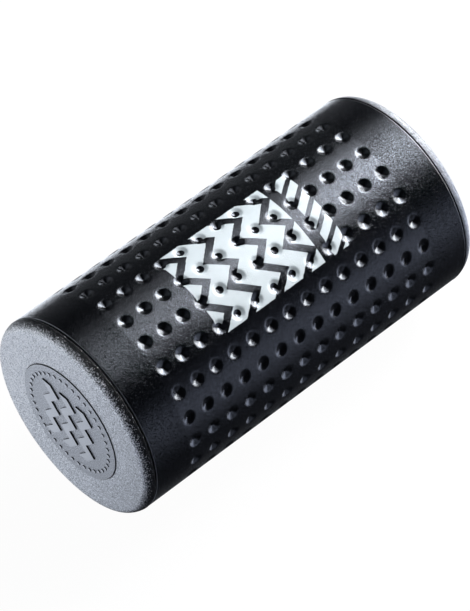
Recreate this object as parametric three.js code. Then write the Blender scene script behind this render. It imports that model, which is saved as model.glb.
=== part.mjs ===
// A hand-held percussion shaker, lying on its side along X. Millimetres, +Z up, origin on the
// surface that it lies on, below its middle.
//
// It comes apart into a thin metal tube with round dimples pressed into its wall, two moulded end
// caps that plug the tube, and a filling of loose steel pellets. Each dimple is a dent outside and a
// bump inside, and the pellets rattle over those bumps. The pellets lie along the bottom of the bore,
// in the channels between two rings of bumps: by turns two side by side, and one on its own.

import * as THREE from 'three';

// Tube
const TUBE_LENGTH = 113.2;
const TUBE_RADIUS = 30;
const TUBE_WALL = 1;

// Grid of pressed dimples
const DIMPLE_COLUMNS = 24;
const DIMPLE_RINGS = 14;
const RING_PITCH = 6.56;
const DIMPLE_RADIUS = 2;
const DIMPLE_DEPTH = 0.9;
const DIMPLE_SIDES = 8;
const BUMP_RADIUS = 2.6;
const BUMP_SIDES = 4;

// End caps
const CAP_THICKNESS = 3;
const CAP_OVERHANG = 0.1;
const CAP_EDGE_RADIUS = 2.6;
const CAP_EDGE_STEPS = 4;
const DISC_RADIUS = 18;
const DISC_HEIGHT = 0.3;
const SKIRT_DEPTH = 8;
const SKIRT_WALL = 2;
const SKIRT_CLEARANCE = 0.3;
const LEFT_CAP_GAP = 0.7;
const RIGHT_CAP_GAP = 0.3;

// Filling
const PELLET_DIAMETER = 5.5;
const PELLET_CLEARANCE = 0.3;

// Sizes that follow from the ones above. Lengths along the tube are from the left cap's outer face,
// which the disc in its middle stands proud of.
const CAP_RADIUS = TUBE_RADIUS + CAP_OVERHANG;
const BORE_RADIUS = TUBE_RADIUS - TUBE_WALL;
const SKIRT_RADIUS = BORE_RADIUS - SKIRT_CLEARANCE;
const TUBE_START = CAP_THICKNESS + LEFT_CAP_GAP;
const TUBE_END = TUBE_START + TUBE_LENGTH;
const LENGTH_OVER_CAPS = TUBE_END + RIGHT_CAP_GAP + CAP_THICKNESS;
const COLUMN_ANGLE = (2 * Math.PI) / DIMPLE_COLUMNS;
const GRID_START = TUBE_START + (TUBE_LENGTH - DIMPLE_RINGS * RING_PITCH) / 2;
const GRID_END = GRID_START + DIMPLE_RINGS * RING_PITCH;
const FACETS_AROUND = 2 * DIMPLE_COLUMNS;
const HALF_FACET = Math.PI / FACETS_AROUND;

const tubeMaterial = new THREE.MeshStandardMaterial({ color: 0x15161a, roughness: 0.32, metalness: 0.7 });
const capMaterial = new THREE.MeshStandardMaterial({ color: 0xa9a9ae, roughness: 0.62, metalness: 0 });
const pelletMaterial = new THREE.MeshStandardMaterial({ color: 0xb9bcc0, roughness: 0.25, metalness: 1 });

/** The point at a radius, an angle round the tube's axis and a length along it. */
function polar(radius, angle, z) {
  return new THREE.Vector3(radius * Math.cos(angle), radius * Math.sin(angle), z);
}

/** A ring of points round the axis, one for each facet of the tube. */
function facetRing(radius, z) {
  return Array.from({ length: FACETS_AROUND }, (_, i) => polar(radius, (i * COLUMN_ANGLE) / 2, z));
}

/** Triangles between a ring and the next ring along the axis, facing away from the axis. */
function wallBetween(first, second) {
  return first.flatMap((corner, i) => {
    const next = (i + 1) % first.length;
    return [[corner, first[next], second[next]], [corner, second[next], second[i]]];
  });
}

/**
 * Triangles between two loops round one centre. Each loop is a list of points with their bearings
 * from that centre, in rising order from the first, and the triangles turn the same way.
 */
function bandBetween(outer, inner) {
  const turn = 2 * Math.PI;
  const triangles = [];
  const bearingAt = (loop, i) => loop[i % loop.length].bearing + turn * Math.floor(i / loop.length);
  const pointAt = (loop, i) => loop[i % loop.length].point;
  let o = 0;
  let n = 0;
  while (o < outer.length || n < inner.length) {
    const outerIsNext = n === inner.length
      || (o < outer.length && bearingAt(outer, o + 1) <= bearingAt(inner, n + 1));
    if (outerIsNext) {
      triangles.push([pointAt(outer, o), pointAt(outer, o + 1), pointAt(inner, n)]);
      o += 1;
    } else {
      triangles.push([pointAt(outer, o), pointAt(inner, n + 1), pointAt(inner, n)]);
      n += 1;
    }
  }
  return triangles;
}

/**
 * One cell of the grid on a wall of the given radius: a patch of wall with a pressed dimple in its
 * middle. The dimple goes towards the axis, as a cone with the given number of sides.
 */
function dimpleCell(wallRadius, column, ring, dimpleRadius, sides) {
  const centreAngle = (column + 0.5) * COLUMN_ANGLE;
  const centreZ = GRID_START + (ring + 0.5) * RING_PITCH;
  const halfWidth = (wallRadius * COLUMN_ANGLE) / 2;
  const halfLength = RING_PITCH / 2;
  const onWall = (around, along) => ({
    bearing: (Math.atan2(along, around) + 2 * Math.PI) % (2 * Math.PI),
    point: polar(wallRadius, centreAngle + around / wallRadius, centreZ + along),
  });
  const border = [[1, 1], [0, 1], [-1, 1], [-1, -1], [0, -1], [1, -1]]
    .map(([around, along]) => onWall(around * halfWidth, along * halfLength));
  const rim = Array.from({ length: sides }, (_, i) => {
    const bearing = (2 * Math.PI * i) / sides;
    return onWall(dimpleRadius * Math.cos(bearing), dimpleRadius * Math.sin(bearing));
  });
  const deepest = polar(wallRadius - DIMPLE_DEPTH, centreAngle, centreZ);
  const cone = rim.map(({ point }, i) => [point, rim[(i + 1) % sides].point, deepest]);
  return [...bandBetween(border, rim), ...cone];
}

/** One face of the tube's wall, end to end, facing away from the axis. */
function dimpledWall(wallRadius, dimpleRadius, sides) {
  const triangles = [
    ...wallBetween(facetRing(wallRadius, TUBE_START), facetRing(wallRadius, GRID_START)),
    ...wallBetween(facetRing(wallRadius, GRID_END), facetRing(wallRadius, TUBE_END)),
  ];
  for (let ring = 0; ring < DIMPLE_RINGS; ring += 1) {
    for (let column = 0; column < DIMPLE_COLUMNS; column += 1) {
      triangles.push(...dimpleCell(wallRadius, column, ring, dimpleRadius, sides));
    }
  }
  return triangles;
}

/** The same triangles, facing the other way. */
function flipped(triangles) {
  return triangles.map(([a, b, c]) => [a, c, b]);
}

/** A geometry from triangles, each of three points in counter-clockwise order seen from outside. */
function geometryFrom(triangles) {
  const geometry = new THREE.BufferGeometry().setFromPoints(triangles.flat());
  geometry.computeVertexNormals();
  return geometry;
}

/** The tube: dents outside, the bumps that they raise inside, and a plain band at each end. */
function tubeGeometry() {
  return geometryFrom([
    ...dimpledWall(TUBE_RADIUS, DIMPLE_RADIUS, DIMPLE_SIDES),
    ...flipped(dimpledWall(BORE_RADIUS, BUMP_RADIUS, BUMP_SIDES)),
    ...wallBetween(facetRing(BORE_RADIUS, TUBE_START), facetRing(TUBE_RADIUS, TUBE_START)),
    ...flipped(wallBetween(facetRing(BORE_RADIUS, TUBE_END), facetRing(TUBE_RADIUS, TUBE_END))),
  ]);
}

/**
 * An end cap, with its outer face down at z = 0: a round plate with a rounded edge, a low raised disc
 * in the middle of its outer face, and a skirt on its inner face that plugs the tube. The flats of its
 * edge are turned so that the shaker lies on one of them.
 */
function capGeometry() {
  const skirtBoreRadius = SKIRT_RADIUS - SKIRT_WALL;
  const edgeCentre = new THREE.Vector2(CAP_RADIUS - CAP_EDGE_RADIUS, CAP_EDGE_RADIUS);
  const roundedEdge = Array.from({ length: CAP_EDGE_STEPS + 1 }, (_, i) => {
    const angle = (Math.PI / 2) * (i / CAP_EDGE_STEPS);
    return new THREE.Vector2(Math.sin(angle), -Math.cos(angle))
      .multiplyScalar(CAP_EDGE_RADIUS)
      .add(edgeCentre);
  });
  const profile = [
    new THREE.Vector2(0, -DISC_HEIGHT),
    new THREE.Vector2(DISC_RADIUS, -DISC_HEIGHT),
    new THREE.Vector2(DISC_RADIUS, 0),
    ...roundedEdge,
    new THREE.Vector2(CAP_RADIUS, CAP_THICKNESS),
    new THREE.Vector2(SKIRT_RADIUS, CAP_THICKNESS),
    new THREE.Vector2(SKIRT_RADIUS, CAP_THICKNESS + SKIRT_DEPTH),
    new THREE.Vector2(skirtBoreRadius, CAP_THICKNESS + SKIRT_DEPTH),
    new THREE.Vector2(skirtBoreRadius, CAP_THICKNESS),
    new THREE.Vector2(0, CAP_THICKNESS),
  ];
  return new THREE.LatheGeometry(profile, FACETS_AROUND, HALF_FACET).rotateX(Math.PI / 2);
}

/**
 * Places for pellets that lie side by side in one channel, symmetrical about the bottom of the bore,
 * as points across the axis.
 */
function channelPlaces(pellets) {
  const radius = BORE_RADIUS - PELLET_CLEARANCE - PELLET_DIAMETER / 2;
  const step = 2 * Math.asin((PELLET_DIAMETER + PELLET_CLEARANCE) / 2 / radius);
  return Array.from({ length: pellets }, (_, i) => {
    const fromBottom = (i - (pellets - 1) / 2) * step;
    return { y: radius * Math.sin(fromBottom), z: -radius * Math.cos(fromBottom) };
  });
}

/** A steel pellet, with two opposite corners on its vertical axis so that it has its full height. */
function pelletGeometry() {
  const tilt = Math.atan((Math.sqrt(5) - 1) / 2);
  return new THREE.IcosahedronGeometry(PELLET_DIAMETER / 2).rotateX(tilt);
}

function namedMesh(name, geometry, material) {
  const mesh = new THREE.Mesh(geometry, material);
  mesh.name = name;
  return mesh;
}

// The tube and the caps are made upright, from the left cap's outer face, and laid down together
const casing = new THREE.Group();
casing.rotation.y = Math.PI / 2;
casing.position.x = -LENGTH_OVER_CAPS / 2;
casing.add(namedMesh('tube', tubeGeometry(), tubeMaterial));
casing.add(namedMesh('left_cap', capGeometry(), capMaterial));
const rightCap = namedMesh('right_cap', capGeometry(), capMaterial);
rightCap.rotation.x = Math.PI;
rightCap.position.z = LENGTH_OVER_CAPS;
casing.add(rightCap);

// Channels with two pellets take turns with channels that hold one
const filling = new THREE.Group();
for (let channel = 1; channel < DIMPLE_RINGS; channel += 1) {
  const x = GRID_START + channel * RING_PITCH - LENGTH_OVER_CAPS / 2;
  for (const { y, z } of channelPlaces(channel % 2 === 1 ? 2 : 1)) {
    const number = String(filling.children.length + 1).padStart(2, '0');
    const pellet = namedMesh(`pellet_${number}`, pelletGeometry(), pelletMaterial);
    pellet.position.set(x, y, z);
    filling.add(pellet);
  }
}

const shaker = new THREE.Group();
shaker.position.z = CAP_RADIUS * Math.cos(HALF_FACET);
shaker.add(casing, filling);

export default shaker;
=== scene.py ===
"""The looks of the percussion shaker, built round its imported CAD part. Sizes are in millimetres up to
the point where a mesh is made, and the scene is in metres."""

from math import cos, pi, radians, sin

import bmesh
import bpy
import numpy as np
from mathutils import Matrix, Vector


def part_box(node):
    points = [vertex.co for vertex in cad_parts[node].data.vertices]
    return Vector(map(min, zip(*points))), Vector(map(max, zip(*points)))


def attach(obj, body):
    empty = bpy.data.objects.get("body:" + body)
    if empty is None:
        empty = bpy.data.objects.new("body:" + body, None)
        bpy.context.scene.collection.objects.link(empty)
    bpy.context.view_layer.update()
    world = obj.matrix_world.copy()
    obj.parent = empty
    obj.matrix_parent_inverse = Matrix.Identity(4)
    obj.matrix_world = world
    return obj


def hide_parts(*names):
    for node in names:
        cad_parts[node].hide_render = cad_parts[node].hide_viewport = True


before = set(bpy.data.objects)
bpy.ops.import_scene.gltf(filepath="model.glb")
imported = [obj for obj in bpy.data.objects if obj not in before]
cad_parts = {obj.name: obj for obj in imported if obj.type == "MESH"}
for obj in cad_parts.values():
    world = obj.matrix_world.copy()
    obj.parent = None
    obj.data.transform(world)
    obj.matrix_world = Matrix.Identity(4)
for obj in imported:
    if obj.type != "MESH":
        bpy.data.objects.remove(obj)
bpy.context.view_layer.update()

MM = 0.001

# Tube. A dent and the bump that it raises inside are profiles: radius from the middle, and depth.
TUBE_WALL = 1.0
LIP_RADIUS = 0.2
LIP_STEPS = 4
COLUMNS = 24
RINGS = 14
RING_PITCH = 6.56
CELL_STEPS = 6
DENT_PROFILE = (
    (0.0, 1.0), (0.15, 0.985), (0.32, 0.93), (0.6, 0.8), (0.9, 0.655), (1.2, 0.5), (1.5, 0.335),
    (1.75, 0.19), (1.92, 0.1), (2.07, 0.045), (2.25, 0.015), (2.5, 0.004), (2.95, 0.0),
)
BUMP_PROFILE = ((0.0, 0.9), (0.7, 0.77), (1.4, 0.45), (2.1, 0.13), (2.8, 0.0))

# Printed block on the tube. Angles are from the line of the tube that faces the camera.
FACING_ANGLE = radians(122.5)
INK_FIRST_ANGLE = radians(-44.0)
INK_LAST_ANGLE = radians(10.0)
INK_START = -23.24
INK_LENGTH = 36.6
ZIGZAG_TURNS = 6
ZIGZAG_SLOPE = 1.15
BAND_HALF_PITCH = 5.0
BAND_HALF_GAP = 1.5
BARS_START = INK_START + 40.0
BARS_LENGTH = 5.4
BAR_HALF_PITCH = 2.3
BAR_HALF_GAP = 0.75
BAR_SLOPE = 0.7

# Caps
CAP_THICKNESS = 3.0
EDGE_WIDTH = 2.35
EDGE_DEPTH = 4.2
EDGE_TURN = 1.25
EDGE_STEPS = 16
DISC_RADIUS = 18.0
DISC_HEIGHT = 0.3
DISC_SHADE = 0.84
SKIRT_RADIUS = 28.7
SKIRT_WALL = 2.0
SKIRT_DEPTH = 8.0
CAP_SEGMENTS = 192

# Figure on a cap's disc: columns of slanted bars inside a ring of studs
RELIEF_HEIGHT = 0.45
RELIEF_SINK = 0.1
RELIEF_SHADE = 0.94
FIGURE_PITCH = 6.6
FIGURE_STEPS = 6
FIGURE_STEP = 3.3
FIGURE_BEND = 1.5
FIGURE_HALF_WIDTH = 1.6
STUDS = 40
STUD_CIRCLE = 15.4
STUD_RADIUS = 0.55
STUD_SIDES = 8
STUD_HEIGHT = 0.25
STUD_SPREAD = 1.15

# Pellets
PELLETS = 20
PELLET_FLAT = 0.012
PELLET_FLAT_SIDE = (0.6, 0.64, 0.48)

# Lights and camera, in metres
PANEL_HEIGHT = 0.35
FAR_PANEL_PLACE = (0.75, 0.0, 0.25)
FAR_PANEL_TARGET = (0, 0, 0.03)
FAR_PANEL_SIZE = (0.63, 0.46)
FAR_PANEL_POWER = 15.8
FLOOR_REACH = 3
CAMERA_LENS = 214.9
CAMERA_PLACE = (-0.42325, -0.47775, 0.77893)
CAMERA_TURN = (
    (0.732526, 0.528619, -0.428915),
    (-0.680413, 0.549044, -0.485376),
    (-0.021085, 0.647389, 0.761868),
)

# Sizes and places of the CAD nodes
tube_low, tube_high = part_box("tube")
left_low, left_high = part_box("left_cap")
right_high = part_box("right_cap")[1]
AXIS_Z = (tube_low.z + tube_high.z) / 2 / MM
TUBE_START = tube_low.x / MM
TUBE_END = tube_high.x / MM
TUBE_RADIUS = (tube_high.z - tube_low.z) / 2 / MM
CAP_RADIUS = (left_high.z - left_low.z) / 2 / MM
LEFT_FACE = left_low.x / MM + DISC_HEIGHT
RIGHT_FACE = right_high.x / MM - DISC_HEIGHT

COLUMN_ANGLE = 2 * pi / COLUMNS
GRID_START = (TUBE_START + TUBE_END - RINGS * RING_PITCH) / 2
GRID_END = GRID_START + RINGS * RING_PITCH


def add_object(name, mesh, material):
    mesh.materials.append(material)
    made = bpy.data.objects.new(name, mesh)
    bpy.context.scene.collection.objects.link(made)
    return made


def smooth_piece(name, vertices, faces, material):
    """A smooth mesh from vertices in millimetres."""
    mesh = bpy.data.meshes.new(name)
    mesh.from_pydata((np.asarray(vertices) * MM).tolist(), [], faces)
    mesh.validate()
    mesh.shade_smooth()
    return add_object(name, mesh, material)


def flat_sheet(name, corners, material):
    """A flat sheet with four corners, in metres."""
    mesh = bpy.data.meshes.new(name)
    mesh.from_pydata(corners, [], [(0, 1, 2, 3)])
    return add_object(name, mesh, material)


def add_attributes(piece, values_by_name):
    """Values at a piece's vertices, for its material to read."""
    for name, values in values_by_name.items():
        piece.data.attributes.new(name, "FLOAT", "POINT").data.foreach_set("value", values)


class Graph:
    """Makes nodes in a material's or the world's node tree and links them up."""

    def __init__(self, tree):
        self.tree = tree
        tree.nodes.clear()

    def node(self, kind, inputs=None, **settings):
        made = self.tree.nodes.new(kind)
        for name, value in settings.items():
            setattr(made, name, value)
        for name, value in (inputs or {}).items():
            self.put(made.inputs[name], value)
        return made

    def put(self, socket, value):
        if isinstance(value, bpy.types.NodeSocket):
            self.tree.links.new(value, socket)
        else:
            socket.default_value = value

    def math(self, operation, a, b=0.0, c=0.0):
        made = self.tree.nodes.new("ShaderNodeMath")
        made.operation = operation
        for socket, value in zip(made.inputs, (a, b, c)):
            self.put(socket, value)
        return made.outputs[0]

    def product(self, first, *others):
        for other in others:
            first = self.math("MULTIPLY", first, other)
        return first

    def remap(self, value, low, high, to_low=0.0, to_high=1.0, smooth=True):
        """A value's place between low and high, clamped, as a value between to_low and to_high."""
        inputs = {"Value": value, "From Min": low, "From Max": high, "To Min": to_low, "To Max": to_high}
        kind = "SMOOTHSTEP" if smooth else "LINEAR"
        return self.node("ShaderNodeMapRange", inputs, interpolation_type=kind).outputs[0]

    def window(self, value, low, high, soft=0.12):
        """1 where a value is between low and high, 0 where it isn't, with soft edges."""
        above = self.remap(value, low - soft, low + soft)
        return self.product(above, self.remap(value, high - soft, high + soft, 1.0, 0.0))

    def ramp(self, value, stops):
        """A ramp of greys: stops are (position, grey)."""
        made = self.node("ShaderNodeValToRGB", {0: value})
        elements = made.color_ramp.elements
        while len(elements) < len(stops):
            elements.new(0.5)
        for element, (position, grey) in zip(elements, stops):
            element.position = position
            element.color = (grey, grey, grey, 1)
        return made.outputs[0]

    def mix(self, factor, a, b, blend="MIX"):
        inputs = {0: factor, 6: a, 7: b}
        return self.node("ShaderNodeMix", inputs, data_type="RGBA", blend_type=blend).outputs[2]

    def noise(self, scale, detail, vector, roughness=0.5):
        inputs = {"Scale": scale, "Detail": detail, "Roughness": roughness, "Vector": vector}
        return self.node("ShaderNodeTexNoise", inputs).outputs["Fac"]

    def place(self):
        return self.node("ShaderNodeTexCoord").outputs["Object"]

    def split(self, vector):
        return self.node("ShaderNodeSeparateXYZ", {"Vector": vector}).outputs

    def attribute(self, name):
        return self.node("ShaderNodeAttribute", attribute_name=name).outputs["Fac"]

    def bump(self, height, distance, strength=1.0):
        inputs = {"Strength": strength, "Distance": distance, "Height": height}
        return self.node("ShaderNodeBump", inputs).outputs[0]

    def principled(self, **inputs):
        """A principled surface, from its inputs' names in lower case with underscores."""
        named = {key.replace("_", " ").title().replace("Ior", "IOR"): value for key, value in inputs.items()}
        return self.node("ShaderNodeBsdfPrincipled", named).outputs[0]

    def emission(self, colour, strength):
        return self.node("ShaderNodeEmission", {"Color": colour, "Strength": strength}).outputs[0]

    def background(self, colour, strength):
        return self.node("ShaderNodeBackground", {"Color": colour, "Strength": strength}).outputs[0]

    def blend(self, factor, first, second):
        """Two surfaces mixed."""
        return self.node("ShaderNodeMixShader", {0: factor, 1: first, 2: second}).outputs[0]

    def surface(self, shader, output="ShaderNodeOutputMaterial"):
        self.node(output, {"Surface": shader})


def material_graph(name):
    material = bpy.data.materials.new(name)
    material.use_nodes = True
    return material, Graph(material.node_tree)


def printed_figure(g, place, along, around):
    """Zigzag bands in a block, and a row of slanted bars beside it, as 1 where the ink is."""
    width = (INK_LAST_ANGLE - INK_FIRST_ANGLE) * TUBE_RADIUS
    ragged = g.math("MULTIPLY", g.math("SUBTRACT", g.noise(900.0, 3.0, place), 0.5), 0.35)
    across = g.math("ADD", g.math("SUBTRACT", around, INK_FIRST_ANGLE * TUBE_RADIUS), ragged)
    block = g.product(g.window(along, INK_START, INK_START + INK_LENGTH), g.window(across, 0.0, width))

    tooth = g.math("PINGPONG", across, width / ZIGZAG_TURNS)
    zigzag = g.math("SUBTRACT", g.math("SUBTRACT", along, INK_START), g.product(tooth, ZIGZAG_SLOPE))
    wave = g.math("PINGPONG", g.math("ADD", zigzag, ragged), BAND_HALF_PITCH)
    bands = g.remap(wave, BAND_HALF_GAP, BAND_HALF_GAP + 0.25)

    slant = g.math("PINGPONG", g.math("ADD", across, g.product(along, BAR_SLOPE)), BAR_HALF_PITCH)
    bars = g.remap(slant, BAR_HALF_GAP, BAR_HALF_GAP + 0.2)
    row = g.product(g.window(along, BARS_START, BARS_START + BARS_LENGTH), g.window(across, 1.0, width))
    return g.math("MAXIMUM", g.product(block, bands), g.product(bars, row))


def tube_material():
    """Black lacquer with a printed figure, and bare metal on the cut edge at each end."""
    material, g = material_graph("black_tube")
    place = g.place()
    x, y, z = g.split(place)
    along = g.product(x, 1 / MM)
    angle = g.math("ARCTAN2", g.math("SUBTRACT", z, AXIS_Z * MM), y)
    around = g.product(g.math("SUBTRACT", angle, FACING_ANGLE), TUBE_RADIUS)
    pressed = g.attribute("pressed")

    # Ink, which the bottom of a dent doesn't take
    thin = g.remap(g.noise(160.0, 4.0, place), 0.3, 0.5, 0.93, 1.0)
    ink = printed_figure(g, place, along, around)
    ink = g.product(ink, g.remap(pressed, 0.5, 0.56, 1.0, 0.0), thin)

    # Relief: a fine orange peel, lumps and faint drawing marks along the tube, all stretched smooth
    # where the metal is pressed in
    stretch = g.remap(pressed, 0.02, 0.4, 1.0, 0.35)
    drawn = g.node("ShaderNodeMapping", {"Vector": place, "Scale": (60.0, 900.0, 900.0)}).outputs[0]
    marks = g.noise(1.0, 3.0, drawn)
    peel = g.noise(3600.0, 2.0, place, 0.6)
    lumps = g.noise(700.0, 2.0, place)
    relief = g.math("ADD", g.product(peel, 0.9), g.product(lumps, 0.3))
    relief = g.math("ADD", relief, g.product(marks, 0.15))
    mean_relief = 0.67
    grain = g.bump(g.product(g.math("SUBTRACT", relief, mean_relief), stretch), 0.0001)

    # The lacquer is glossier over the grid of dents than on the plain bands, and sparkles less there
    grid = g.window(along, -45.0, 44.6, 0.4)
    flecks = g.product(g.math("SUBTRACT", g.noise(4600.0, 1.0, place), 0.5), stretch)
    sparkle = g.math("MULTIPLY_ADD", flecks, g.remap(grid, 0.0, 1.0, 6.5, 3.8), 1.0)
    scuff = g.remap(g.noise(70.0, 5.0, place, 0.65), 0.5, 0.75)
    lacquer = g.principled(
        base_color=(0.0007, 0.0008, 0.0011, 1),
        roughness=g.remap(scuff, 0.0, 1.0, 0.1, 0.16),
        ior=1.5,
        specular_ior_level=g.product(g.remap(grid, 0.0, 1.0, 0.34, 0.5), sparkle),
        specular_tint=(0.93, 0.98, 1.08, 1),
        normal=grain,
    )
    paint = g.principled(
        base_color=g.mix(thin, (0.31, 0.343, 0.352, 1), (0.375, 0.412, 0.425, 1)),
        roughness=0.5,
        normal=grain,
    )
    metal = g.principled(
        base_color=g.mix(lumps, (0.16, 0.165, 0.175, 1), (0.36, 0.365, 0.38, 1)),
        metallic=1.0,
        roughness=0.35,
        normal=grain,
    )
    g.surface(g.blend(g.attribute("bare"), g.blend(ink, lacquer, paint), metal))
    return material


def cap_material():
    """Grey metal-flake plastic. Its rounded edge has painted light: a brighter band of flake as painted
    highlight, then black in coarse specks as painted shade. The figure on its disc is smoother than the
    rest."""
    material, g = material_graph("grey_cap")
    place = g.place()
    edge, smooth, shade = g.attribute("edge"), g.attribute("smooth"), g.attribute("shade")
    fine = g.noise(5000.0, 1.0, place)
    coarse = g.noise(2600.0, 2.0, place, 0.7)
    grainy = g.math("ADD", fine, g.product(coarse, g.remap(edge, 0.0, 0.4, 0.4, 1.2)))
    grain = g.bump(g.product(grainy, g.remap(smooth, 0.0, 1.0, 1.0, 0.25)), 0.00016)

    # Tone of the flake: clouds, specks, and painted light, a gradient across the cap that is lighter towards
    # the back and the top and weaker on its disc
    cloud = g.remap(g.noise(45.0, 3.0, place), 0.3, 0.7, 0.96, 1.03)
    contrast = g.math("ADD", g.remap(smooth, 0.0, 1.0, 0.9, 0.1), g.remap(edge, 0.0, 0.15, 0.0, 1.3))
    speck = g.math("SUBTRACT", g.math("MULTIPLY_ADD", fine, 0.75, g.product(coarse, 0.25)), 0.5)
    specks = g.math("MAXIMUM", g.math("MULTIPLY_ADD", speck, g.product(contrast, 5.5), 1.0), 0.15)
    y, z = g.split(place)[1:]
    # Painted light: the flake gets lighter towards +Y and +Z, more steeply off the disc
    painted_light_slope = g.remap(shade, DISC_SHADE, 1.0, 6.0, 10.0)
    painted_light_fade = g.math("MULTIPLY_ADD", y, painted_light_slope, g.remap(shade, DISC_SHADE, 1.0, 0.86, 0.95))
    painted_light_fade = g.math("ADD", painted_light_fade, g.product(z, 4.5))
    # The flake is up to half again as bright on the rounded edge: painted highlight
    level = g.product(cloud, specks, shade, painted_light_fade, g.remap(edge, 0.05, 0.4, 1.0, 1.5))
    tint = g.node("ShaderNodeCombineXYZ")
    for channel, share in zip(tint.inputs, (0.62, 0.635, 0.665)):
        g.put(channel, g.product(level, share))
    flake = g.principled(
        base_color=tint.outputs[0],
        metallic=1.0,
        roughness=g.remap(smooth, 0.0, 1.0, 0.42, 0.32),
        normal=grain,
    )
    # Near-black surface that stands for painted shade on the edges
    black = g.principled(
        base_color=(0.003, 0.0032, 0.0036, 1),
        roughness=0.34,
        ior=1.3,
        specular_ior_level=g.remap(coarse, 0.4, 0.62, 0.04, 0.55),
        normal=grain,
    )
    # Painted shade: the rounded edge and the sides of raised shapes turn from flake to near-black in coarse
    # specks
    patchy = g.product(g.math("SUBTRACT", coarse, 0.5), g.remap(edge, 0.0, 0.4, 0.3, 2.5))
    edge_painted_shade = g.remap(g.math("ADD", edge, patchy), 0.42, 0.62)
    g.surface(g.blend(edge_painted_shade, flake, black))
    return material


def steel_material():
    material, g = material_graph("steel_shot")
    place = g.place()
    steel = g.principled(
        base_color=(0.55, 0.56, 0.58, 1),
        metallic=1.0,
        roughness=g.remap(g.noise(400.0, 3.0, place), 0.3, 0.7, 0.2, 0.36),
        normal=g.bump(g.noise(1800.0, 3.0, place, 0.6), 0.0001, 0.2),
    )
    g.surface(steel)
    return material


class TubeMesh:
    """Collects faces round the tube's axis, whose corners are welded where they meet. Each vertex
    holds how deeply it is pressed in and whether it is bare metal."""

    def __init__(self):
        self.index = {}
        self.vertices = []
        self.faces = []
        self.looks = {"pressed": [], "bare": []}

    def corner(self, radius, angle, along, pressed=0.0, bare=0.0):
        turn = round(angle / (2 * pi) * 1e6) % 1000000
        key = (round(radius * 1e4), turn, round(along * 1e4))
        if key not in self.index:
            self.index[key] = len(self.vertices)
            self.vertices.append((along, radius * cos(angle), AXIS_Z + radius * sin(angle)))
            self.looks["pressed"].append(pressed)
            self.looks["bare"].append(bare)
        return self.index[key]

    def loop(self, radius, along, bare):
        """Corners all round the tube, one for each step of each cell."""
        count = COLUMNS * CELL_STEPS
        return [self.corner(radius, 2 * pi * i / count, along, bare=bare) for i in range(count)]

    def band(self, first, second, outward):
        """Faces between two closed loops of corners with equal counts."""
        for i in range(len(first)):
            j = (i + 1) % len(first)
            face = (first[i], first[j], second[j], second[i])
            self.faces.append(face if outward else face[::-1])


def add_cell(mesh, wall_radius, profile, outward, centre, middle):
    """A patch of the tube's wall with one dent, at an angle round the tube and a place along it."""
    half_width = COLUMN_ANGLE / 2
    half_length = RING_PITCH / 2
    edge = [2 * i / CELL_STEPS - 1 for i in range(CELL_STEPS)]
    border = [(1, e) for e in edge] + [(-e, 1) for e in edge]
    border += [(-1, -e) for e in edge] + [(e, -1) for e in edge]
    bearings = [-pi / 4 + 2 * pi * i / len(border) for i in range(len(border))]
    deepest = profile[0][1]
    outer = [
        mesh.corner(wall_radius, centre + u * half_width, middle + v * half_length) for u, v in border
    ]
    for radius, depth in reversed(profile[1:]):
        inner = [
            mesh.corner(
                wall_radius - depth,
                centre + radius * cos(bearing) / wall_radius,
                middle + radius * sin(bearing),
                depth / deepest,
            )
            for bearing in bearings
        ]
        mesh.band(inner, outer, not outward)
        outer = inner
    tip = mesh.corner(wall_radius - deepest, centre, middle, 1.0)
    for i in range(len(outer)):
        face = (outer[i], outer[(i + 1) % len(outer)], tip)
        mesh.faces.append(face[::-1] if outward else face)


def add_end(mesh, end, grid_edge, side):
    """The plain wall between the grid and one end of the tube, with a rounded lip. Side is 1 for the
    end where the tube starts and -1 for the other."""
    bore = TUBE_RADIUS - TUBE_WALL
    span = (grid_edge - end) * side
    sections = [(TUBE_RADIUS, span * (1 - share), 0.0) for share in (0.0, 0.2, 0.45, 0.7, 0.9, 0.95)]
    for step in range(LIP_STEPS + 1):
        turn = pi / 2 * step / LIP_STEPS
        inset, rise = LIP_RADIUS * (1 - cos(turn)), LIP_RADIUS * (1 - sin(turn))
        sections.append((TUBE_RADIUS - inset, rise, min(1.0, inset / LIP_RADIUS * 8)))
    sections += [(bore + LIP_RADIUS, 0.0, 1.0), (bore, LIP_RADIUS, 0.0)]
    sections += [(bore, span * share, 0.0) for share in (0.1, 0.5, 1.0)]
    loops = [mesh.loop(radius, end + side * rise, bare) for radius, rise, bare in sections]
    for first, second in zip(loops, loops[1:]):
        mesh.band(first, second, side < 0)


def build_tube(material):
    mesh = TubeMesh()
    walls = ((TUBE_RADIUS, DENT_PROFILE, True), (TUBE_RADIUS - TUBE_WALL, BUMP_PROFILE, False))
    for wall_radius, profile, outward in walls:
        for ring in range(RINGS):
            for column in range(COLUMNS):
                centre = (column + 0.5) * COLUMN_ANGLE
                middle = GRID_START + (ring + 0.5) * RING_PITCH
                add_cell(mesh, wall_radius, profile, outward, centre, middle)
    add_end(mesh, TUBE_START, GRID_START, 1)
    add_end(mesh, TUBE_END, GRID_END, -1)
    piece = smooth_piece("dimpled_tube", mesh.vertices, mesh.faces, material)
    add_attributes(piece, mesh.looks)
    return piece


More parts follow.
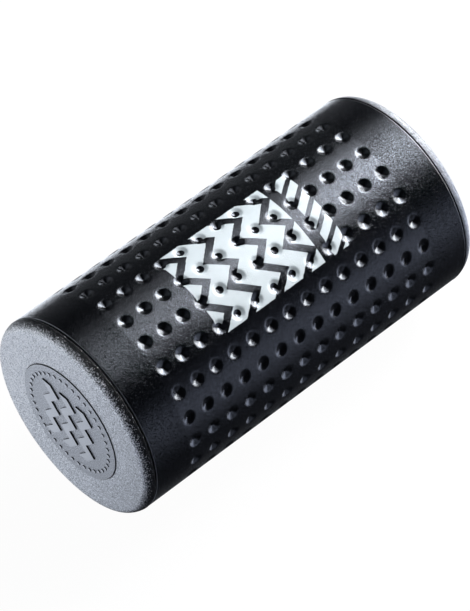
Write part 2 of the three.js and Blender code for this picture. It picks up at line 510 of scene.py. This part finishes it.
class CapMesh:
    """Collects the faces of a cap, and at each vertex its share of the rounded edge, its smoothness and its
    shade: a tone on the disc and the figure, and painted shade on the far cap's edge. Faces are given
    counter-clockwise for a cap at the +X end."""

    def __init__(self, side):
        self.side = side
        self.vertices = []
        self.faces = []
        self.looks = {"edge": [], "smooth": [], "shade": []}

    def vertex(self, place, edge=0.0, smooth=0.0, shade=1.0):
        self.vertices.append(place)
        for name, value in (("edge", edge), ("smooth", smooth), ("shade", shade)):
            self.looks[name].append(value)
        return len(self.vertices) - 1

    def face(self, corners):
        corners = [c for k, c in enumerate(corners) if c not in corners[:k]]
        self.faces.append(corners if self.side < 0 else corners[::-1])

    def raised(self, outline, spread, top, foot):
        """A raised shape on the disc, as a prism on an outline across the tube, with its foot spread
        out. Its faces don't share corners, so that they shade flat."""
        middle = np.mean(outline, axis=0)
        base = [tuple(middle + (np.asarray(point) - middle) * spread) for point in outline]
        for i in range(len(outline)):
            j = (i + 1) % len(outline)
            corners = [(top, *outline[i]), (top, *outline[j]), (foot, *base[j]), (foot, *base[i])]
            # The sides take the whole edge share, which the material paints black: painted shade on the
            # walls
            self.face([self.vertex(corner, edge=1.0) for corner in corners])
        lid = [self.vertex((top, *point), smooth=1.0, shade=RELIEF_SHADE) for point in outline]
        self.face(lid[::-1])


def cap_profile(painted_light_reach):
    """Points of half a cap's section as radius, depth below the flat of its outer face, and share of the
    rounded edge, scaled by how far painted light reaches over that edge."""
    rise = -DISC_HEIGHT
    flat_radius = CAP_RADIUS - EDGE_WIDTH * sin(EDGE_TURN)
    disc = [
        (0.0, rise, 0.0),
        (DISC_RADIUS - 0.2, rise, 0.0),
        (DISC_RADIUS - 0.06, rise + 0.02, 0.1),
        (DISC_RADIUS - 0.01, rise + 0.07, 1.0),
        (DISC_RADIUS + 0.02, -0.04, 1.0),
        (DISC_RADIUS + 0.1, 0.0, 0.9),
        (DISC_RADIUS + 0.3, 0.0, 0.0),
        (flat_radius - 1.5, 0.0, 0.0),
    ]
    rounded = []
    for step in range(EDGE_STEPS + 1):
        turn = EDGE_TURN * step / EDGE_STEPS
        radius, depth = flat_radius + EDGE_WIDTH * sin(turn), EDGE_DEPTH * (1 - cos(turn))
        rounded.append((radius, depth, max(0.01, painted_light_reach * step / EDGE_STEPS)))
    rim = [
        (CAP_RADIUS, CAP_THICKNESS - 0.12, 0.8 * painted_light_reach),
        (CAP_RADIUS, CAP_THICKNESS - 0.06, 0.9),
        (CAP_RADIUS - 0.02, CAP_THICKNESS - 0.02, 0.7),
        (CAP_RADIUS - 0.06, CAP_THICKNESS, 1.0),
    ]
    skirt_bore = SKIRT_RADIUS - SKIRT_WALL
    bottom = CAP_THICKNESS + SKIRT_DEPTH
    skirt = [
        (SKIRT_RADIUS + 0.2, CAP_THICKNESS, 1.0),
        (SKIRT_RADIUS, CAP_THICKNESS + 0.2, 1.0),
        (SKIRT_RADIUS, bottom - 0.6, 1.0),
        (SKIRT_RADIUS - 0.5, bottom, 1.0),
        (skirt_bore + 0.2, bottom, 1.0),
        (skirt_bore, bottom - 0.2, 1.0),
        (skirt_bore, CAP_THICKNESS, 1.0),
        (0.0, CAP_THICKNESS, 1.0),
    ]
    return disc + rounded + rim + skirt


def add_figure(parts, surface, outwards):
    """The columns of slanted bars, on a disc whose surface is at x = surface."""
    top, foot = surface + outwards * RELIEF_HEIGHT, surface - outwards * RELIEF_SINK
    for column in (-1, 0, 1):
        for step in range(FIGURE_STEPS):
            bend = FIGURE_BEND if step % 2 else -FIGURE_BEND
            y0, y1 = FIGURE_PITCH * column - bend, FIGURE_PITCH * column + bend
            z0 = AXIS_Z + FIGURE_STEP * (step - FIGURE_STEPS / 2)
            z1 = z0 + FIGURE_STEP
            outline = [
                (y0 - FIGURE_HALF_WIDTH, z0),
                (y0 + FIGURE_HALF_WIDTH, z0),
                (y1 + FIGURE_HALF_WIDTH, z1),
                (y1 - FIGURE_HALF_WIDTH, z1),
            ]
            parts.raised(outline, 1.0, top, foot)


def add_studs(parts, surface, outwards):
    """The ring of studs, on a disc whose surface is at x = surface."""
    top, foot = surface + outwards * STUD_HEIGHT, surface - outwards * RELIEF_SINK
    for stud in range(STUDS):
        turn = 2 * pi * stud / STUDS
        y, z = STUD_CIRCLE * cos(turn), AXIS_Z + STUD_CIRCLE * sin(turn)
        bearings = [2 * pi * k / STUD_SIDES for k in range(STUD_SIDES)]
        outline = [(y + STUD_RADIUS * cos(b), z + STUD_RADIUS * sin(b)) for b in bearings]
        parts.raised(outline, STUD_SPREAD, top, foot)


def build_cap(name, face, side, painted_light_reach, painted_shade_dimming, material):
    """A cap whose flat outer face is at x = face, with the rest of it on the given side of that."""
    parts = CapMesh(side)
    turns = [2 * pi * i / CAP_SEGMENTS for i in range(CAP_SEGMENTS)]
    loops = []
    for radius, depth, edge in cap_profile(painted_light_reach):
        x = face + side * depth
        # On the rounded edge shade is painted shade, dimming the flake as far as the edge's share goes; on
        # the disc it is a darker tone
        shade = DISC_SHADE if radius < DISC_RADIUS else 1 - painted_shade_dimming * min(1.0, edge / painted_light_reach)
        if radius == 0:
            loops.append([parts.vertex((x, 0, AXIS_Z), edge, shade=shade)] * CAP_SEGMENTS)
        else:
            ring = [(x, radius * cos(turn), AXIS_Z + radius * sin(turn)) for turn in turns]
            loops.append([parts.vertex(place, edge, shade=shade) for place in ring])
    for first, second in zip(loops, loops[1:]):
        for i in range(CAP_SEGMENTS):
            j = (i + 1) % CAP_SEGMENTS
            parts.face([first[i], first[j], second[j], second[i]])
    add_figure(parts, face - side * DISC_HEIGHT, -side)
    add_studs(parts, face - side * DISC_HEIGHT, -side)
    piece = smooth_piece(name, parts.vertices, parts.faces, material)
    add_attributes(piece, parts.looks)
    return piece


def build_pellet(name, node, material):
    """A steel pellet, slightly out of round, where the CAD pellet is."""
    low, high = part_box(node)
    centre, radius = (low + high) / 2, (high.z - low.z) / 2
    ball = bmesh.new()
    bmesh.ops.create_icosphere(ball, subdivisions=3, radius=radius)
    for vertex in ball.verts:
        facing = max(0.0, vertex.co.normalized().dot(Vector(PELLET_FLAT_SIDE)))
        vertex.co = centre + vertex.co * (1 - PELLET_FLAT * facing**6)
    mesh = bpy.data.meshes.new(name)
    ball.to_mesh(mesh)
    ball.free()
    mesh.shade_smooth()
    return add_object(name, mesh, material)


def build_floor():
    """A pale floor, which the camera sees nearly white but for the object's shadow."""
    material, g = material_graph("pale_floor")
    grain = g.noise(35.0, 3.0, g.place())
    colour = g.mix(grain, (0.78, 0.78, 0.79, 1), (0.8, 0.8, 0.8, 1))
    diffuse = g.node("ShaderNodeBsdfDiffuse", {"Color": colour}).outputs[0]
    shown = g.blend(0.97, diffuse, g.emission((1, 1, 1, 1), 1.0))
    g.surface(g.blend(g.node("ShaderNodeLightPath").outputs["Is Camera Ray"], diffuse, shown))
    reach = FLOOR_REACH
    corners = [(-reach, -reach, 0), (reach, -reach, 0), (reach, reach, 0), (-reach, reach, 0)]
    floor = flat_sheet("floor", corners, material)
    floor.visible_glossy = False


def mirrored_room(g, x, y, z):
    """The room that glossy surfaces mirror, as a colour for each direction."""
    # Brightness by height of the direction, on the front side (-Y) and on the back
    front_stops = (
        (-1, 0.05), (-0.65, 0.05), (-0.5, 0.13), (-0.35, 0.36), (-0.12, 0.98), (0.0, 1.2), (0.12, 0.6),
        (0.24, 0.13), (0.38, 0.04), (0.7, 0.02), (1, 0.02),
    )
    back_stops = (
        (-1, 0.04), (-0.8, 0.04), (-0.73, 0.6), (-0.66, 1.0), (-0.55, 1.0), (-0.5, 0.52), (-0.42, 0.2),
        (-0.33, 0.16), (-0.2, 0.23), (-0.09, 0.19), (0.04, 0.12), (0.2, 0.1), (0.4, 0.06), (0.7, 0.02),
        (1, 0.02),
    )
    height = g.math("MULTIPLY_ADD", z, 0.5, 0.5)
    front, back = (
        g.ramp(height, [((level + 1) / 2, grey) for level, grey in stops])
        for stops in (front_stops, back_stops)
    )
    back_side = g.remap(y, -0.25, 0.25)
    room = g.mix(back_side, front, back)

    # A card past the near end, which the near cap mirrors
    toward_card = g.math("ADD", g.product(x, -0.843), g.product(y, 0.527))
    toward_card = g.math("ADD", toward_card, g.product(z, -0.105))
    card_stops = ((0.0, 0.02), (0.1, 0.08), (0.35, 0.22), (0.6, 0.6), (0.72, 0.85), (1.0, 0.85))
    room = g.mix(g.remap(x, -0.02, -0.25), room, g.ramp(toward_card, card_stops))

    # Two bright patches beyond the far end, low in front and level behind
    beyond = g.remap(x, 0.6, 0.75)
    low_front = g.product(beyond, g.remap(z, -0.04, -0.2), g.remap(y, 0.15, -0.05))
    glow = g.mix(g.remap(z, -0.42, -0.25), (1.7, 1.7, 1.7, 1), (3.2, 3.2, 3.2, 1))
    room = g.mix(low_front, room, glow)
    level_back = g.product(beyond, g.remap(y, 0.5, 0.6), g.remap(z, -0.24, -0.14), g.remap(z, 0.06, -0.02))
    room = g.mix(level_back, room, (3.4, 3.4, 3.4, 1))
    return g.mix(1.0, room, g.mix(back_side, (0.9, 0.98, 1.2, 1), (0.92, 0.98, 1.08, 1)), "MULTIPLY")


def build_world():
    """White where the camera sees past the floor, a room for glossy rays, and a dim fill elsewhere."""
    world = bpy.data.worlds.new("studio")
    bpy.context.scene.world = world
    world.use_nodes = True
    g = Graph(world.node_tree)
    path = g.node("ShaderNodeLightPath").outputs
    x, y, z = g.split(g.node("ShaderNodeTexCoord").outputs["Generated"])
    paper = g.product(g.remap(z, -0.47, -0.56), g.remap(x, 0.0, 0.3), g.remap(y, 0.0, 0.25))
    glossy = g.background(mirrored_room(g, x, y, z), g.remap(paper, 0.0, 1.0, 1.0, 2.4))
    fill = g.background((0.9, 0.95, 1.0, 1), 0.25)
    white = g.background((1, 1, 1, 1), 1.0)
    unseen = g.blend(path["Is Glossy Ray"], fill, glossy)
    g.surface(g.blend(path["Is Camera Ray"], unseen, white), "ShaderNodeOutputWorld")


def build_overhead_panel(height):
    """A long softbox above the shaker, dim over its near end and bright beyond its far end."""
    material, g = material_graph("overhead_panel")
    x, y = g.split(g.place())[:2]
    far = g.remap(x, 0.06, 0.35, 0.0, 1.0, smooth=False)
    front_edge = g.remap(y, -0.56 * height, -0.1 * height)
    back_edge = g.remap(y, 0.7 * height, -0.08 * height, 0.06, 1.0, smooth=False)
    brightest = g.remap(x, 0.3, 0.46, 20.0, 42.0)
    g.surface(g.emission((0.95, 0.975, 1.02, 1), g.product(front_edge, back_edge, far, brightest)))
    near, end = 0.05, 0.62
    front, back, top = -0.62 * height, 0.72 * height, AXIS_Z * MM + height
    corners = [(near, front, top), (near, back, top), (end, back, top), (end, front, top)]
    panel = flat_sheet("overhead_panel", corners, material)
    panel.visible_camera = False


def build_far_panel(unlit):
    """A soft light beyond the far end, which lights everything but the given piece."""
    data = bpy.data.lights.new("far_panel", "AREA")
    data.shape = "RECTANGLE"
    data.size, data.size_y = FAR_PANEL_SIZE
    data.energy = FAR_PANEL_POWER
    light = bpy.data.objects.new("far_panel", data)
    light.location = FAR_PANEL_PLACE
    light.rotation_mode = "QUATERNION"
    light.rotation_quaternion = (Vector(FAR_PANEL_TARGET) - Vector(FAR_PANEL_PLACE)).to_track_quat("-Z", "Y")
    light.visible_camera = False
    bpy.context.scene.collection.objects.link(light)
    skipped = bpy.data.collections.new("not_lit_by_far_panel")
    skipped.objects.link(unlit)
    skipped.collection_objects[0].light_linking.link_state = "EXCLUDE"
    light.light_linking.receiver_collection = skipped


def build_camera():
    """The camera, where the fit of the photograph's perspective puts it."""
    camera = bpy.data.objects.new("camera", bpy.data.cameras.new("camera"))
    camera.data.lens = CAMERA_LENS
    camera.data.sensor_width = 36
    camera.data.clip_start = 0.01
    camera.matrix_world = Matrix.Translation(CAMERA_PLACE) @ Matrix(CAMERA_TURN).to_4x4()
    bpy.context.scene.collection.objects.link(camera)
    bpy.context.scene.camera = camera


tube = build_tube(tube_material())
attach(tube, "shell")
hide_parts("tube")

# Each cap's face, the side of it that the cap is on, how far painted light reaches over its edge, and how
# much painted shade dims the flake there. The near cap's edge turns black as painted shade; the far cap's
# edge keeps its flake, dimmed.
cap_finish = cap_material()
near_cap = build_cap("near_cap", LEFT_FACE, 1, 1.0, 0.0, cap_finish)
far_cap = build_cap("far_cap", RIGHT_FACE, -1, 0.3, 0.9, cap_finish)
for cap, node in ((near_cap, "left_cap"), (far_cap, "right_cap")):
    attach(cap, "shell")
    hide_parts(node)

steel = steel_material()
for number in range(1, PELLETS + 1):
    pellet = build_pellet(f"shot_ball_{number:02d}", f"pellet_{number:02d}", steel)
    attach(pellet, f"shot_{number:02d}")
    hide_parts(f"pellet_{number:02d}")

build_floor()
build_world()
build_overhead_panel(PANEL_HEIGHT)
build_far_panel(far_cap)
build_camera()
bpy.context.scene.view_settings.view_transform = "Standard"
